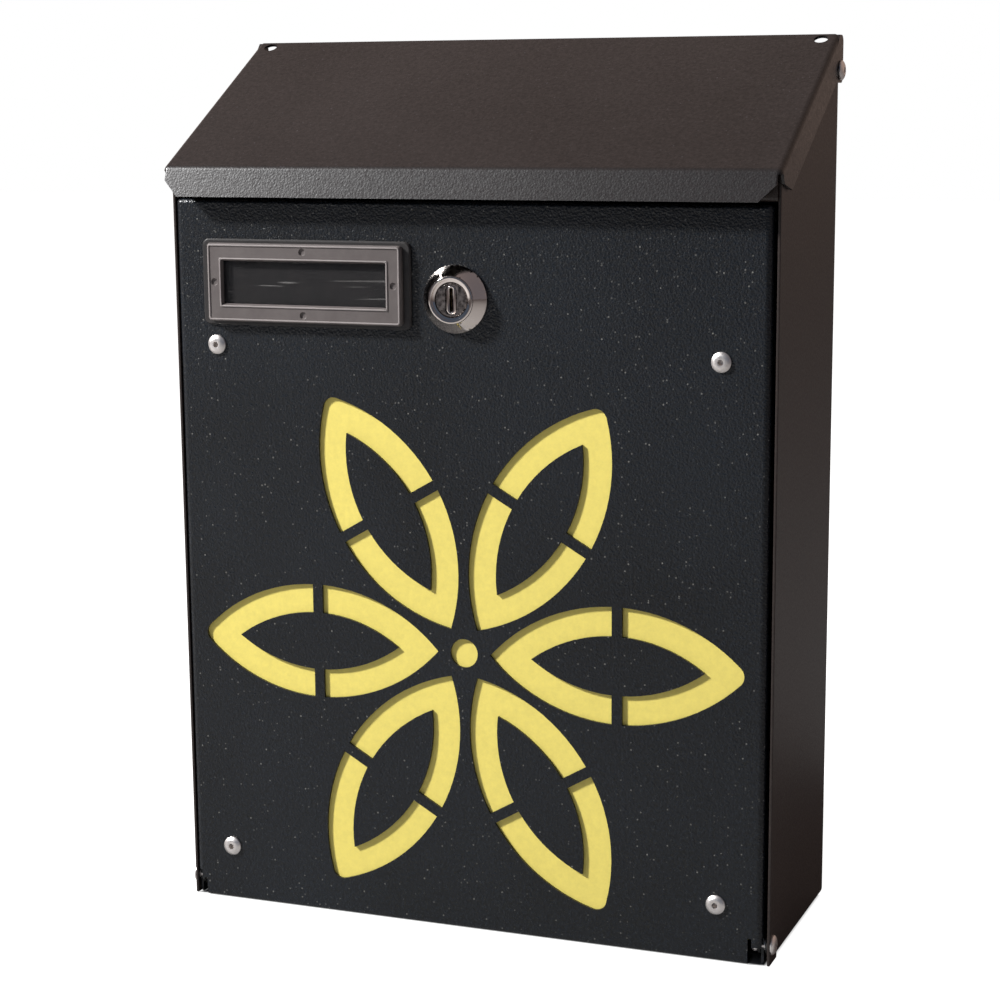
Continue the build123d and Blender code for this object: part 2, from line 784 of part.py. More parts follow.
# The housing: a conical bezel with a raised ring about the plug, and a barrel with two flats.
# A slot at its rear end gives the stop washer's tab a quarter turn.
with BuildPart() as lock_housing:
    with BuildSketch(lock_section):
        with BuildLine():
            Polyline((0, barrel_radius), (0, bezel_radius), (-bezel_rim, bezel_radius))
            Line((-bezel_rim, bezel_radius), (bezel_round - bezel_height, bezel_top_radius))
            RadiusArc(
                (bezel_round - bezel_height, bezel_top_radius),
                (-bezel_height, bezel_top_radius - bezel_round),
                -bezel_round,
            )
            Polyline(
                (-bezel_height, bezel_top_radius - bezel_round),
                (-bezel_height, ring_inner_radius),
                (ring_floor, ring_inner_radius),
                (ring_floor, bore),
                (barrel_length, bore),
                (barrel_length, barrel_radius),
                (0, barrel_radius),
            )
        make_face()
    revolve(axis=lock_axis)
    with BuildSketch(facing(0, *lock_place)):
        Rectangle(3 * barrel_radius, 3 * barrel_radius)
        Rectangle(barrel_flats, 3 * barrel_radius, mode=Mode.SUBTRACT)
    extrude(amount=-barrel_length, mode=Mode.SUBTRACT)
    with BuildSketch(facing(barrel_length, *lock_place)):
        slot_start = 180 - tab_half - tab_clearance_angle
        add(sector(2 * barrel_radius, slot_start, 180 + lock_turn + tab_half + tab_clearance_angle))
    extrude(amount=stop_tab_depth, mode=Mode.SUBTRACT)

with BuildPart() as lock_washer:
    with BuildSketch(facing(sheet, *lock_place)):
        Circle(lock_washer_radius)
        Circle(barrel_radius + thread_clearance, mode=Mode.SUBTRACT)
    extrude(amount=-lock_washer_thickness)

with BuildPart() as lock_nut:
    with BuildSketch(facing(sheet + lock_washer_thickness, *lock_place)):
        RegularPolygon(nut_flats / 2, 6, major_radius=False, rotation=30)
        Circle(barrel_radius + thread_clearance, mode=Mode.SUBTRACT)
    extrude(amount=-nut_thickness)

# The plug: a keyway from the front, a slot across it for each wafer with a pocket for the
# wafer's spring, and a square at the back that drives the stop washer and the cam.
wafer_depths = [wafer_first + wafer_pitch * i for i in range(wafer_count)]
wafer_slot = wafer_thickness + 2 * wafer_play
lug_x = (wafer_width + wafer_lug_width) / 2
pocket_bottom = -wafer_lug_tall / 2 - spring_length - wafer_play

with BuildPart() as lock_plug:
    with BuildSketch(facing(-plug_front, *lock_place)):
        Circle(plug_radius)
    extrude(amount=through(-plug_front, stop_front))
    chamfer(lock_plug.edges().sort_by(Axis.Y)[0], bezel_round)
    with BuildSketch(facing(stop_front, *lock_place)):
        Rectangle(square, square)
    extrude(amount=through(stop_front, cam_back - square_clearance))
    with BuildSketch(facing(-plug_front, *lock_place)):
        SlotOverall(key_dish_tall, key_dish_width, rotation=90)
    extrude(amount=-key_dish_depth, mode=Mode.SUBTRACT)
    with BuildSketch(facing(-plug_front, *lock_place)):
        Rectangle(keyway_width, keyway_tall)
    extrude(amount=-keyway_depth, mode=Mode.SUBTRACT)
    for depth in wafer_depths:
        with BuildSketch(facing(depth - wafer_play, *lock_place)):
            Rectangle(wafer_width + 2 * wafer_play, 3 * plug_radius)
            with Locations((lug_x, (pocket_bottom + wafer_lug_tall / 2) / 2 + wafer_play / 2)):
                Rectangle(wafer_lug_width + 2 * wafer_play, wafer_lug_tall / 2 - pocket_bottom + wafer_play)
        extrude(amount=-wafer_slot, mode=Mode.SUBTRACT)
    with BuildSketch(facing(cam_back, *lock_place)):
        Circle(screw_shank_radius + thread_clearance)
    extrude(amount=screw_length + thread_clearance, mode=Mode.SUBTRACT)

with BuildPart() as lock_wafers:
    for depth in wafer_depths:
        with BuildSketch(facing(depth, *lock_place)):
            Rectangle(wafer_width, wafer_tall)
            Rectangle(wafer_window_width, wafer_window_tall, mode=Mode.SUBTRACT)
            with Locations((lug_x, 0)):
                Rectangle(wafer_lug_width, wafer_lug_tall)
        extrude(amount=-wafer_thickness)

with BuildPart() as wafer_springs:
    spring_top = lock_height - wafer_lug_tall / 2
    for depth in wafer_depths:
        place = (lock_x + lug_x, *at(depth + wafer_thickness / 2, spring_top))
        with Locations(Location(place, (180, 0, 0))):
            Cylinder(spring_radius, spring_length, align=(Align.CENTER, Align.CENTER, Align.MIN))

with BuildPart() as stop_washer:
    with BuildSketch(facing(stop_front, *lock_place)):
        Circle(stop_radius)
        Rectangle(square + 2 * square_clearance, square + 2 * square_clearance, mode=Mode.SUBTRACT)
    extrude(amount=-stop_thickness)
    with BuildSketch(facing(stop_front, *lock_place)):
        add(sector(stop_radius, 180 - tab_half, 180 + tab_half))
        Circle(bore + stop_gap, mode=Mode.SUBTRACT)
    extrude(amount=stop_tab_depth)

# The cam lies level when the lock is open and stands up behind the header's leg when shut.
with BuildPart() as lock_cam:
    with BuildSketch(facing(cam_front, *lock_place)):
        Circle(cam_hub_radius)
        with Locations((cam_length - cam_tip_radius, 0)):
            Circle(cam_tip_radius)
        make_hull()
        Rectangle(square + 2 * square_clearance, square + 2 * square_clearance, mode=Mode.SUBTRACT)
    extrude(amount=-cam_thickness)

with BuildPart() as cam_screw:
    with BuildSketch(facing(cam_back, *lock_place)):
        Circle(screw_head_radius)
    extrude(amount=-screw_head_height)
    fillet(cam_screw.edges().sort_by(Axis.Y)[-1], screw_head_height / 2)
    with BuildSketch(facing(cam_back, *lock_place)):
        Circle(screw_shank_radius)
    extrude(amount=screw_length)
    with BuildSketch(facing(cam_back + screw_head_height, *lock_place)):
        Rectangle(screw_head_radius, screw_slot_width)
        Rectangle(screw_slot_width, screw_head_radius)
    extrude(amount=screw_slot_depth, mode=Mode.SUBTRACT)

# ======================================================================== files
save(case_wrap, "case_wrap")
save(back_panel, "back_panel")
save(header_rail, "header_rail")
save(wall_spacers, "wall_spacers")
save(lid_hinge_rivets, "lid_hinge_rivets")
save(lid_hinge_washers, "lid_hinge_washers")
save(door_hinge_rivets, "door_hinge_rivets")
save(door_hinge_washers, "door_hinge_washers")
save(door_spacer_washer, "door_spacer_washer")
save(lid_panel, "lid_panel")
save(door_panel, "door_panel")
save(colour_panel, "colour_panel")
save(colour_panel_rivets, "colour_panel_rivets")
save(name_base, "name_base")
save(name_frame, "name_frame")
save(name_window, "name_window")
save(name_clips, "name_clips")
save(lock_housing, "lock_housing")
save(lock_washer, "lock_washer")
save(lock_nut, "lock_nut")
save(lock_plug, "lock_plug")
save(lock_wafers, "lock_wafers")
save(wafer_springs, "wafer_springs")
save(stop_washer, "stop_washer")
save(lock_cam, "lock_cam")
save(cam_screw, "cam_screw")
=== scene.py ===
import math

import bmesh
import bpy
from mathutils import Matrix, Vector


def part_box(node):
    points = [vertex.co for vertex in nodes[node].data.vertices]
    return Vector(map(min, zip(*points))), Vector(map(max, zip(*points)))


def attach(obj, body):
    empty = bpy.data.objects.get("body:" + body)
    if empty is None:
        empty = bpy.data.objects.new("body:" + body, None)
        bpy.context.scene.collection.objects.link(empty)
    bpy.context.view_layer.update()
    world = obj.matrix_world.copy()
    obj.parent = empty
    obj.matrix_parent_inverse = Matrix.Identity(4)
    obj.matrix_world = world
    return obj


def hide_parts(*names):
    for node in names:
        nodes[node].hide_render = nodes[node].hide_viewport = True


# A wall mailbox in folded steel sheet, seen closed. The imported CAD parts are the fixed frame;
# every piece below is either a CAD node with its finish, or a finer piece that stands for one.
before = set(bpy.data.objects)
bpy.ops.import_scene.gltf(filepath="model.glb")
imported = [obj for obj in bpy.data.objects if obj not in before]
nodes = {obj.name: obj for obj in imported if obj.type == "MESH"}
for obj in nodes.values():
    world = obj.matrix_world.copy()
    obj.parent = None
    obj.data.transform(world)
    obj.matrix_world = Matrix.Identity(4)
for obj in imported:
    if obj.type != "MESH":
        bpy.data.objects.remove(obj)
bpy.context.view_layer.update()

MM = 0.001

# ======================================================================== case
# The case is a strip of 1 mm steel bent into a U, with a folded back panel and a header rail
# spot-welded in. All three are powder coated together, in a fine black texture.
CASE_COAT = (0.0260, 0.0175, 0.0145)
CASE_SPECKS = (0.20, 0.18, 0.16)
CASE_PARTS = ("case_wrap", "back_panel", "header_rail")
SHEET_EDGE_ROUND = 0.22 * MM
GRAIN_HEIGHT = 0.22 * MM
WELD_DISTANCE = 0.002 * MM


def new_material(name):
    """An empty material that shows one Principled BSDF. Returns it with its nodes and links."""
    material = bpy.data.materials.new(name)
    material.use_nodes = True
    tree = material.node_tree
    return material, tree, tree.nodes["Principled BSDF"]


def new_group(name, inputs, outputs):
    """A shader node group with (name, kind, default) inputs and (name, kind) outputs."""
    group = bpy.data.node_groups.new(name, "ShaderNodeTree")
    for label, kind, default in inputs:
        socket = group.interface.new_socket(label, in_out="INPUT", socket_type=kind)
        socket.default_value = default
    for label, kind in outputs:
        group.interface.new_socket(label, in_out="OUTPUT", socket_type=kind)
    start = group.nodes.new("NodeGroupInput")
    end = group.nodes.new("NodeGroupOutput")
    return group, start, end


def math_node(tree, operation, a, b=None, clamp=False):
    """A Math node; a and b are sockets or plain numbers."""
    node = tree.nodes.new("ShaderNodeMath")
    node.operation = operation
    node.use_clamp = clamp
    for slot, value in ((0, a), (1, b)):
        if value is None:
            continue
        if hasattr(value, "links"):
            tree.links.new(value, node.inputs[slot])
        else:
            node.inputs[slot].default_value = value
    return node.outputs[0]


def remap(tree, value, low, high, out_low, out_high):
    """A clamped Map Range."""
    node = tree.nodes.new("ShaderNodeMapRange")
    node.clamp = True
    tree.links.new(value, node.inputs["Value"])
    limits = (("From Min", low), ("From Max", high), ("To Min", out_low), ("To Max", out_high))
    for label, number in limits:
        socket = node.inputs[label]
        if hasattr(number, "links"):
            tree.links.new(number, socket)
        else:
            socket.default_value = number
    return node.outputs["Result"]


def mix_colour(tree, factor, a, b):
    """A colour mix; factor, a and b are sockets or plain values."""
    node = tree.nodes.new("ShaderNodeMix")
    node.data_type = "RGBA"
    for socket, value in ((node.inputs[0], factor), (node.inputs[6], a), (node.inputs[7], b)):
        if hasattr(value, "links"):
            tree.links.new(value, socket)
        else:
            socket.default_value = value if isinstance(value, float) else (*value[:3], 1)
    return node.outputs[2]


def noise(tree, coords, scale, detail, roughness):
    """Noise on a coordinate socket; scale is a socket or a plain number."""
    node = tree.nodes.new("ShaderNodeTexNoise")
    tree.links.new(coords, node.inputs["Vector"])
    if hasattr(scale, "links"):
        tree.links.new(scale, node.inputs["Scale"])
    else:
        node.inputs["Scale"].default_value = scale
    node.inputs["Detail"].default_value = detail
    node.inputs["Roughness"].default_value = roughness
    return node.outputs["Fac"]


def powder_coat_group():
    """Textured powder coat: pebbled grain, sparse light specks, uneven tone and gloss."""
    group, start, end = new_group(
        "powder_coat",
        [("Colour", "NodeSocketColor", (0.02, 0.02, 0.02, 1)),
         ("Speck Colour", "NodeSocketColor", (0.3, 0.29, 0.27, 1)),
         ("Grain Scale", "NodeSocketFloat", 1500.0),
         ("Variation", "NodeSocketFloat", 0.3),
         ("Speck Amount", "NodeSocketFloat", 0.3),
         ("Roughness", "NodeSocketFloat", 0.5)],
        [("Color", "NodeSocketColor"), ("Roughness", "NodeSocketFloat"), ("Height", "NodeSocketFloat")],
    )
    coords = group.nodes.new("ShaderNodeTexCoord").outputs["Object"]
    scale = start.outputs["Grain Scale"]
    variation = start.outputs["Variation"]
    pebbles = group.nodes.new("ShaderNodeTexVoronoi")
    pebbles.feature = "SMOOTH_F1"
    pebbles.inputs["Smoothness"].default_value = 0.6
    group.links.new(coords, pebbles.inputs["Vector"])
    group.links.new(scale, pebbles.inputs["Scale"])
    fine = noise(group, coords, math_node(group, "MULTIPLY", scale, 1.7), 3.0, 0.6)
    mottle = noise(group, coords, math_node(group, "MULTIPLY", scale, 0.55), 3.0, 0.65)
    cloud = noise(group, coords, 14.0, 3.0, 0.5)
    specks = group.nodes.new("ShaderNodeTexVoronoi")
    specks.feature = "F1"
    group.links.new(coords, specks.inputs["Vector"])
    group.links.new(math_node(group, "MULTIPLY", scale, 0.6), specks.inputs["Scale"])
    pick = group.nodes.new("ShaderNodeSeparateColor")
    group.links.new(specks.outputs["Color"], pick.inputs[0])
    size = remap(group, pick.outputs[1], 0.0, 1.0, 0.08, 0.34)
    dot = remap(group, specks.outputs["Distance"], math_node(group, "MULTIPLY", size, 0.5), size, 1.0, 0.0)
    chosen = remap(group, pick.outputs[0], 0.80, 1.0, 0.0, 1.0)
    speck = math_node(group, "MULTIPLY", dot, chosen)
    speck = math_node(group, "MULTIPLY", speck, start.outputs["Speck Amount"])
    swing = math_node(group, "MULTIPLY", remap(group, mottle, 0.3, 0.7, -1.0, 1.0), variation)
    drift = math_node(group, "MULTIPLY", remap(group, cloud, 0.3, 0.7, -0.4, 0.4), variation)
    tone = math_node(group, "ADD", math_node(group, "ADD", swing, drift), 1.0)
    tint = group.nodes.new("ShaderNodeVectorMath")
    tint.operation = "SCALE"
    group.links.new(start.outputs["Colour"], tint.inputs[0])
    group.links.new(tone, tint.inputs["Scale"])
    colour = mix_colour(group, speck, tint.outputs[0], start.outputs["Speck Colour"])
    rough = math_node(group, "ADD", start.outputs["Roughness"], remap(group, fine, 0.3, 0.7, -0.06, 0.06))
    rough = math_node(group, "ADD", rough, math_node(group, "MULTIPLY", swing, -0.12), clamp=True)
    height = math_node(group, "SUBTRACT", 1.0, pebbles.outputs["Distance"])
    height = math_node(group, "ADD", height, math_node(group, "MULTIPLY", fine, 0.35))
    height = math_node(group, "ADD", height, math_node(group, "MULTIPLY", mottle, 0.8))
    group.links.new(colour, end.inputs["Color"])
    group.links.new(rough, end.inputs["Roughness"])
    group.links.new(height, end.inputs["Height"])
    return group


POWDER_COAT = powder_coat_group()


def surface(tree, shader, colour, roughness, height, strength, depth):
    """Links a colour, a roughness and a height, as a bump, to a shader."""
    relief = tree.nodes.new("ShaderNodeBump")
    relief.inputs["Strength"].default_value = strength
    relief.inputs["Distance"].default_value = depth
    tree.links.new(height, relief.inputs["Height"])
    tree.links.new(colour, shader.inputs["Base Color"])
    tree.links.new(roughness, shader.inputs["Roughness"])
    tree.links.new(relief.outputs["Normal"], shader.inputs["Normal"])


def coated(name, colour, speck_colour, grain, variation, specks, roughness, bump):
    """A powder-coat material with its own values."""
    material, tree, shader = new_material(name)
    coat = tree.nodes.new("ShaderNodeGroup")
    coat.node_tree = POWDER_COAT
    coat.inputs["Colour"].default_value = (*colour, 1)
    coat.inputs["Speck Colour"].default_value = (*speck_colour, 1)
    coat.inputs["Grain Scale"].default_value = grain
    coat.inputs["Variation"].default_value = variation
    coat.inputs["Speck Amount"].default_value = specks
    coat.inputs["Roughness"].default_value = roughness
    out = coat.outputs
    surface(tree, shader, out["Color"], out["Roughness"], out["Height"], bump, GRAIN_HEIGHT)
    return material


def add_object(name, data):
    """A new object of the scene for a mesh, a light or a camera."""
    item = bpy.data.objects.new(name, data)
    bpy.context.scene.collection.objects.link(item)
    return item


def smooth_faces(mesh, sharp_degrees=32):
    """Smooth shading, with edges sharper than the angle kept crisp."""
    for polygon in mesh.polygons:
        polygon.use_smooth = True
    mesh.set_sharp_from_angle(angle=math.radians(sharp_degrees))


def finish_node(name, material):
    """Gives a CAD node its finish."""
    mesh = nodes[name].data
    mesh.materials.clear()
    mesh.materials.append(material)


def soft_edged(name, body, material, edge_round, sharp_degrees=34):
    """A copy of a CAD node whose sharp cut edges are rounded, as powder coat leaves them."""
    mesh = nodes[name].data.copy()
    mesh.name = f"{name}_fine"
    bm = bmesh.new()
    bm.from_mesh(mesh)
    bmesh.ops.remove_doubles(bm, verts=bm.verts, dist=WELD_DISTANCE)
    limit = math.radians(sharp_degrees)
    sharp = [e for e in bm.edges if e.is_manifold and e.calc_face_angle() > limit]
    bmesh.ops.bevel(
        bm, geom=sharp, offset=edge_round, segments=2, profile=0.5, affect="EDGES",
        clamp_overlap=True, material=-1, miter_outer="ARC"
    )
    bm.to_mesh(mesh)
    bm.free()
    smooth_faces(mesh)
    mesh.materials.clear()
    mesh.materials.append(material)
    piece = add_object(f"{name}_fine", mesh)
    flat = piece.modifiers.new("flat_faces", "WEIGHTED_NORMAL")
    flat.weight = 100
    flat.keep_sharp = True
    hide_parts(name)
    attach(piece, body)
    return piece


case_coat = coated(
    "case_coat", CASE_COAT, CASE_SPECKS, grain=1900.0, variation=0.35, specks=0.15, roughness=0.46,
    bump=0.16
)
for part in CASE_PARTS:
    piece = soft_edged(part, "case", case_coat, SHEET_EDGE_ROUND)

# ======================================================================== lid
# The lid is one folded steel sheet: roof, flared lip, side flanges and ears. It turns on two
# rivets at its back. Its coat is the case's black texture, a little coarser and glossier.
LID_COAT = (0.0185, 0.0152, 0.0150)
LID_SPECKS = (0.24, 0.22, 0.25)

lid_coat = coated(
    "lid_coat", LID_COAT, LID_SPECKS, grain=1400.0, variation=0.45, specks=0.15, roughness=0.34,
    bump=0.17
)
lid = soft_edged("lid_panel", "lid", lid_coat, SHEET_EDGE_ROUND)

# ======================================================================== door
# The door is a shallow folded steel pan with the flower cut through it. It turns on two rivets
# near its bottom. Its black coat is the deepest and coarsest, and sparkles with light specks.
DOOR_COAT = (0.0048, 0.0066, 0.0094)
DOOR_SPECKS = (0.34, 0.33, 0.30)

door_coat = coated(
    "door_coat", DOOR_COAT, DOOR_SPECKS, grain=1400.0, variation=0.95, specks=0.50, roughness=0.34,
    bump=0.75
)
door = soft_edged("door_panel", "door", door_coat, SHEET_EDGE_ROUND)

# ======================================================================== yellow panel
# A plain steel sheet behind the door's flower, in a satin yellow coat. Four blind rivets hold
# it to the door.
YELLOW = (0.95, 0.79, 0.185)
YELLOW_SPECKS = (0.80, 0.62, 0.12)

yellow_coat = coated(
    "yellow_coat", YELLOW, YELLOW_SPECKS, grain=900.0, variation=0.05, specks=0.15, roughness=0.55,
    bump=0.05
)
finish_node("colour_panel", yellow_coat)

# ======================================================================== rivets
# Blind rivets in bare aluminium: four hold the yellow panel, two turn the lid and two the
# door. Zinc-plated steel washers back the lid's two.
ALUMINIUM = (0.95, 0.90, 0.87)
ZINC = (0.60, 0.60, 0.61)
RIVET_EDGE_ROUND = 0.06 * MM
SCRATCH_DEPTH = 0.05 * MM


def metal_wear_group():
    """Bare or plated metal: brushed or rubbed variation of tone and gloss, and fine scratches."""
    group, start, end = new_group(
        "metal_wear",
        [("Colour", "NodeSocketColor", (0.7, 0.7, 0.7, 1)),
         ("Roughness", "NodeSocketFloat", 0.3),
         ("Grain Scale", "NodeSocketFloat", 1200.0),
         ("Variation", "NodeSocketFloat", 0.2)],
        [("Color", "NodeSocketColor"), ("Roughness", "NodeSocketFloat"), ("Height", "NodeSocketFloat")],
    )
    coords = group.nodes.new("ShaderNodeTexCoord").outputs["Object"]
    grain = start.outputs["Grain Scale"]
    variation = start.outputs["Variation"]
    mottle = noise(group, coords, math_node(group, "MULTIPLY", grain, 0.25), 4.0, 0.6)
    stretch = group.nodes.new("ShaderNodeMapping")
    stretch.inputs["Scale"].default_value = (1.0, 1.0, 0.06)
    group.links.new(coords, stretch.inputs["Vector"])
    lines = noise(group, stretch.outputs["Vector"], grain, 3.0, 0.6)
    low = math_node(group, "SUBTRACT", 1.0, variation)
    tone = remap(group, mottle, 0.35, 0.65, low, 1.0)
    tint = group.nodes.new("ShaderNodeVectorMath")
    tint.operation = "SCALE"
    group.links.new(start.outputs["Colour"], tint.inputs[0])
    group.links.new(tone, tint.inputs["Scale"])
    swing = math_node(group, "MULTIPLY", math_node(group, "SUBTRACT", mottle, 0.5), variation)
    rough = math_node(group, "ADD", start.outputs["Roughness"], swing)
    rough = math_node(group, "ADD", rough, remap(group, lines, 0.35, 0.65, -0.04, 0.04), clamp=True)
    group.links.new(tint.outputs[0], end.inputs["Color"])
    group.links.new(rough, end.inputs["Roughness"])
    group.links.new(math_node(group, "ADD", lines, mottle), end.inputs["Height"])
    return group


METAL_WEAR = metal_wear_group()


def metal(name, colour, roughness, grain, variation, bump):
    """A metal material with its own values."""
    material, tree, shader = new_material(name)
    wear = tree.nodes.new("ShaderNodeGroup")
    wear.node_tree = METAL_WEAR
    wear.inputs["Colour"].default_value = (*colour, 1)
    wear.inputs["Roughness"].default_value = roughness
    wear.inputs["Grain Scale"].default_value = grain
    wear.inputs["Variation"].default_value = variation
    out = wear.outputs
    surface(tree, shader, out["Color"], out["Roughness"], out["Height"], bump, SCRATCH_DEPTH)
    shader.inputs["Metallic"].default_value = 1.0
    return material


rivet_metal = metal("rivet_metal", ALUMINIUM, roughness=0.42, grain=1500.0, variation=0.12, bump=0.10)
for part, body in (
    ("colour_panel_rivets", "door"), ("lid_hinge_rivets", "case"), ("door_hinge_rivets", "case")
):
    piece = soft_edged(part, body, rivet_metal, RIVET_EDGE_ROUND, sharp_degrees=38)

zinc_steel = metal("zinc_steel", ZINC, roughness=0.36, grain=900.0, variation=0.22, bump=0.10)
finish_node("lid_hinge_washers", zinc_steel)

# ======================================================================== name holder
# A moulded holder in dark grey plastic: a base plate, a frame with pegs, and a clear scratched
# window. Push-on spring clips behind the door hold the pegs.
HOLDER_PLASTIC = (0.118, 0.100, 0.096)
HOLDER_RUBBED = (0.150, 0.130, 0.125)
BASE_PLASTIC = (0.022, 0.020, 0.020)
BASE_RUBBED = (0.040, 0.036, 0.035)
# painted highlight: the beads' plastic is a lighter copy of the frame's, standing in for the light on
# their ridges
BEAD_PAINTED_HIGHLIGHT = (0.30, 0.27, 0.26)
BEAD_PAINTED_HIGHLIGHT_RUBBED = (0.36, 0.32, 0.31)
WINDOW_FILM = (0.020, 0.020, 0.022)
WINDOW_SCRATCH = (0.30, 0.29, 0.28)
SPRING_STEEL = (0.42, 0.42, 0.44)
HOLDER_EDGE_ROUND = 0.12 * MM
SPARK_DEPTH = 0.08 * MM
HAIRLINE_DEPTH = 0.04 * MM


def holder_material(name, colour_low, colour_high):
    """Moulded plastic with a fine spark texture and rubbed, lighter patches."""
    material, tree, shader = new_material(name)
    coords = tree.nodes.new("ShaderNodeTexCoord").outputs["Object"]
    spark = noise(tree, coords, 2600.0, 3.0, 0.6)
    rub = noise(tree, coords, 160.0, 4.0, 0.6)
    colour = mix_colour(tree, remap(tree, rub, 0.35, 0.7, 0.0, 1.0), colour_low, colour_high)
    rough = remap(tree, rub, 0.3, 0.7, 0.50, 0.40)
    surface(tree, shader, colour, rough, spark, 0.30, SPARK_DEPTH)
    return material


def window_material():
    """Clear plastic sheet with hairline scratches and a hazy, dusty film."""
    material, tree, shader = new_material("clear_window")
    coords = tree.nodes.new("ShaderNodeTexCoord").outputs["Object"]
    haze = noise(tree, coords, 90.0, 4.0, 0.6)
    scratch = 0.0
    for turn, stretch_to, seed in ((0.5, 0.05, 3.0), (-0.35, 0.04, 11.0), (1.9, 0.06, 23.0)):
        place = tree.nodes.new("ShaderNodeMapping")
        place.inputs["Location"].default_value = (seed, seed, seed)
        place.inputs["Rotation"].default_value = (0, turn, 0)
        place.inputs["Scale"].default_value = (stretch_to, 1.0, 1.0)
        tree.links.new(coords, place.inputs["Vector"])
        streak = noise(tree, place.outputs["Vector"], 700.0, 0.0, 0.4)
        line = remap(tree, streak, 0.79, 0.83, 0.0, 1.0)
        scratch = math_node(tree, "MAXIMUM", line, scratch)
    rough = remap(tree, haze, 0.3, 0.7, 0.16, 0.26)
    rough = math_node(tree, "ADD", rough, math_node(tree, "MULTIPLY", scratch, 0.4))
    colour = mix_colour(tree, scratch, WINDOW_FILM, WINDOW_SCRATCH)
    surface(tree, shader, colour, rough, scratch, 0.5, HAIRLINE_DEPTH)
    tree.links.new(remap(tree, scratch, 0.0, 1.0, 0.22, 0.42), shader.inputs["Alpha"])
    return material


holder_plastic = holder_material("holder_plastic", HOLDER_PLASTIC, HOLDER_RUBBED)
base_plastic = holder_material("base_plastic", BASE_PLASTIC, BASE_RUBBED)
for part, plastic in (("name_base", base_plastic), ("name_frame", holder_plastic)):
    piece = soft_edged(part, "door", plastic, HOLDER_EDGE_ROUND)
finish_node("name_window", window_material())

# Thin raised beads run round the frame's outer edge and round its window. Their plastic is a lighter copy
# of the frame's, a painted highlight along their ridges.
BEAD_WIDTH = 0.55 * MM
BEAD_HEIGHT = 0.30 * MM
BEAD_ROUND = 0.14 * MM
OUTER_BEAD_INSET = 0.45 * MM
OUTER_BEAD_CORNER = 1.0 * MM
WINDOW_LAP = 1.7 * MM
WINDOW_BEAD_REACH = 1.1 * MM
WINDOW_BEAD_CORNER = 0.3 * MM
FOLD_ANGLE = 1.0
TO_FRONT = Matrix.Rotation(math.radians(90), 4, "X")


def frame_bead(name, half_width, half_tall, corner):
    """A rectangular bead with rounded corners, standing on the frame's face."""
    low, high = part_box("name_frame")
    centre = ((low[0] + high[0]) / 2, low[1], (low[2] + high[2]) / 2)
    bm = bmesh.new()
    bmesh.ops.create_grid(bm, x_segments=1, y_segments=1, size=1.0, matrix=TO_FRONT)
    bmesh.ops.scale(bm, verts=bm.verts, vec=(half_width, 1, half_tall))
    bmesh.ops.bevel(
        bm, geom=bm.verts[:], offset=corner, segments=4, profile=0.5, affect="VERTICES", material=-1
    )
    bmesh.ops.translate(bm, verts=bm.verts, vec=centre)
    middle = bm.faces[:]
    bmesh.ops.inset_region(
        bm, faces=middle, thickness=BEAD_WIDTH, use_boundary=True, use_even_offset=True
    )
    bmesh.ops.delete(bm, geom=middle, context="FACES_ONLY")
    raised = bmesh.ops.extrude_face_region(bm, geom=bm.faces[:])["geom"]
    top = [v for v in raised if isinstance(v, bmesh.types.BMVert)]
    bmesh.ops.translate(bm, verts=top, vec=(0, -BEAD_HEIGHT, 0))
    bmesh.ops.recalc_face_normals(bm, faces=bm.faces)
    above = [e for e in bm.edges if e.verts[0] in top and e.verts[1] in top]
    ridge = [e for e in above if e.calc_face_angle(0) > FOLD_ANGLE]
    bmesh.ops.bevel(
        bm, geom=ridge, offset=BEAD_ROUND, segments=2, profile=0.5, affect="EDGES", material=-1
    )
    mesh = bpy.data.meshes.new(name)
    bm.to_mesh(mesh)
    bm.free()
    smooth_faces(mesh)
    mesh.materials.append(bead_painted_highlight)
    piece = add_object(name, mesh)
    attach(piece, "door")


def half_sizes(name, change):
    """Half the width and half the height of a CAD node's front, each with a change added."""
    low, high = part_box(name)
    return (high[0] - low[0]) / 2 + change, (high[2] - low[2]) / 2 + change


# the beads' lighter plastic is a painted highlight on their ridges
bead_painted_highlight = holder_material("bead_painted_highlight", BEAD_PAINTED_HIGHLIGHT, BEAD_PAINTED_HIGHLIGHT_RUBBED)
frame_bead("outer_bead", *half_sizes("name_frame", -OUTER_BEAD_INSET), OUTER_BEAD_CORNER)
frame_bead("window_bead", *half_sizes("name_window", WINDOW_BEAD_REACH - WINDOW_LAP), WINDOW_BEAD_CORNER)
spring_steel = metal("spring_steel", SPRING_STEEL, roughness=0.34, grain=1100.0, variation=0.2, bump=0.08)
finish_node("name_clips", spring_steel)
finish_node("wafer_springs", spring_steel)

# ======================================================================== lock
# A cam lock: a chromed housing, a dull plug and brass wafers inside it. A zinc-plated nut holds
# it in the door, over a washer, and a screw holds the stop washer and the cam on the plug.
CHROME = (0.86, 0.78, 0.73)
PLUG_STEEL = (0.26, 0.23, 0.22)
BRASS = (0.72, 0.54, 0.24)
BEZEL_EDGE_ROUND = 0.15 * MM
PLUG_EDGE_ROUND = 0.12 * MM

lock_chrome = metal("lock_chrome", CHROME, roughness=0.08, grain=700.0, variation=0.06, bump=0.01)
plug_metal = metal("plug_metal", PLUG_STEEL, roughness=0.30, grain=2600.0, variation=0.60, bump=0.35)
wafer_brass = metal("wafer_brass", BRASS, roughness=0.30, grain=1500.0, variation=0.2, bump=0.08)
housing = soft_edged("lock_housing", "door", lock_chrome, BEZEL_EDGE_ROUND)
plug = soft_edged("lock_plug", "lock", plug_metal, PLUG_EDGE_ROUND)
finish_node("lock_wafers", wafer_brass)

